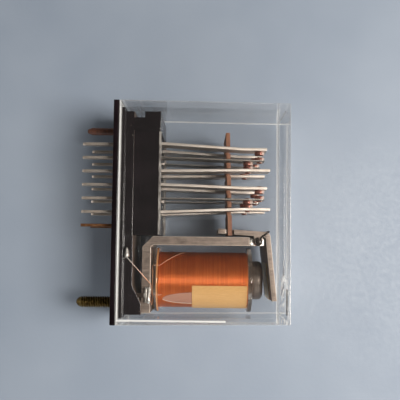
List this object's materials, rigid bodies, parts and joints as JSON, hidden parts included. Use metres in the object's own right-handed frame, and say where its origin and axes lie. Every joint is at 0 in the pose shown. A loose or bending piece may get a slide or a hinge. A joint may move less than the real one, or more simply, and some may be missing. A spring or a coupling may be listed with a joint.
{
  "type": "electrical relay",
  "caption": "Plug-in comb relay: rows of contact springs on a base with pins, moved by a card and a hinged armature over a coil, under a clear cover.",
  "frame": {"origin": "the middle of the base's mounting face, the flat side that the pins stand out of", "axes": "+X from the mounting face to the top of the cover, +Y across the rows of pins from the coil to the guide peg, +Z through the thickness, from the back column of springs to the front one"},
  "size_m": [0.0395, 0.04, 0.0196],
  "materials": {
    "black_moulding": "moulded, slightly glossy",
    "spring_metal": "rolled strip, dull",
    "blade_metal": "thin rolled strip",
    "contact_metal": "riveted and tarnished",
    "edge_strip": "dull",
    "brown_moulding": "moulded",
    "bronzed_steel": "threaded and bronzed",
    "hard_paper": "punched laminate",
    "magnet_iron": "annealed iron, dull plating",
    "shim_metal": "thin rolled sheet",
    "dark_wire": "drawn and darkened",
    "bright_steel": "machined and plated",
    "cream_moulding": "moulded, slightly translucent",
    "enamelled_copper": "wound enamelled wire",
    "yellow_label": "plain, glossy",
    "tag_copper": "stamped, partly tinned",
    "solder": "set solder, bright",
    "clear_moulding": "clear polystyrene, polished"
  },
  "bodies": {
    "frame_body": {"base": "black_moulding", "spring_block": "black_moulding", "block_edge_strips": "edge_strip", "guide_peg": "brown_moulding", "fixing_stud": "bronzed_steel", "make_spring_a_front": "spring_metal", "make_spring_a_back": "spring_metal", "make_spring_b_front": "spring_metal", "make_spring_b_back": "spring_metal", "break_spring_a_front": "spring_metal", "break_spring_a_back": "spring_metal", "break_spring_b_front": "spring_metal", "break_spring_b_back": "spring_metal", "blade_pin_a_front": "spring_metal", "blade_pin_a_back": "spring_metal", "blade_pin_b_front": "spring_metal", "blade_pin_b_back": "spring_metal", "make_contacts": "contact_metal", "break_contacts": "contact_metal", "hinge_pin": "dark_wire", "hinge_bearing": "bright_steel", "yoke": "magnet_iron", "core": "magnet_iron", "bobbin": "cream_moulding", "winding_bulk": "enamelled_copper", "winding_outer_layer": "enamelled_copper", "coil_label": "yellow_label", "coil_pin_start": "tag_copper", "coil_pin_finish": "tag_copper", "lead_start": "enamelled_copper", "lead_finish": "enamelled_copper", "solder_joints": "solder"},
    "cover_body": {"cover": "clear_moulding"},
    "armature_body": {"armature": "magnet_iron", "armature_shim": "shim_metal", "armature_bail": "dark_wire"},
    "comb_body": {"comb": "hard_paper"},
    "blade_body_a_front": {"blade_a_front": "blade_metal", "blade_contacts_a_front": "contact_metal"},
    "blade_body_a_back": {"blade_a_back": "blade_metal", "blade_contacts_a_back": "contact_metal"},
    "blade_body_b_front": {"blade_b_front": "blade_metal", "blade_contacts_b_front": "contact_metal"},
    "blade_body_b_back": {"blade_b_back": "blade_metal", "blade_contacts_b_back": "contact_metal"}
  },
  "joints": [
    {"name": "armature_hinge", "type": "hinge", "parent": "frame_body", "child": "armature_body", "pos_m": [0.02616, -0.0051, 0], "axis": [0, 0, -1], "range_deg": [0, 5.8], "stiffness_Nm_per_rad": 0.02, "springref_deg": -5.73},
    {"name": "comb_lift", "type": "slide", "parent": "frame_body", "child": "comb_body", "axis": [0, 1, 0], "range_m": [0, 0.00058]},
    {"name": "blade_a_front_flex", "type": "hinge", "parent": "frame_body", "child": "blade_body_a_front", "pos_m": [0.00852, 0.0101, 0.005], "axis": [0, 0, 1], "range_deg": [0, 0.988]},
    {"name": "blade_a_back_flex", "type": "hinge", "parent": "frame_body", "child": "blade_body_a_back", "pos_m": [0.00852, 0.0101, -0.005], "axis": [0, 0, 1], "range_deg": [0, 0.988]},
    {"name": "blade_b_front_flex", "type": "hinge", "parent": "frame_body", "child": "blade_body_b_front", "pos_m": [0.00852, 0.0026, 0.005], "axis": [0, 0, 1], "range_deg": [0, 0.988]},
    {"name": "blade_b_back_flex", "type": "hinge", "parent": "frame_body", "child": "blade_body_b_back", "pos_m": [0.00852, 0.0026, -0.005], "axis": [0, 0, 1], "range_deg": [0, 0.988]},
    {"name": "cover_pull", "type": "slide", "parent": "frame_body", "child": "cover_body", "axis": [1, 0, 0], "range_m": [0, 0.032]}
  ],
  "couplings": [
    {"joint": "comb_lift", "follows": "armature_hinge", "m_per_rad": 0.0057273},
    {"joint": "blade_a_front_flex", "follows": "armature_hinge", "ratio": 0.1703},
    {"joint": "blade_a_back_flex", "follows": "armature_hinge", "ratio": 0.1703},
    {"joint": "blade_b_front_flex", "follows": "armature_hinge", "ratio": 0.1703},
    {"joint": "blade_b_back_flex", "follows": "armature_hinge", "ratio": 0.1703}
  ]
}
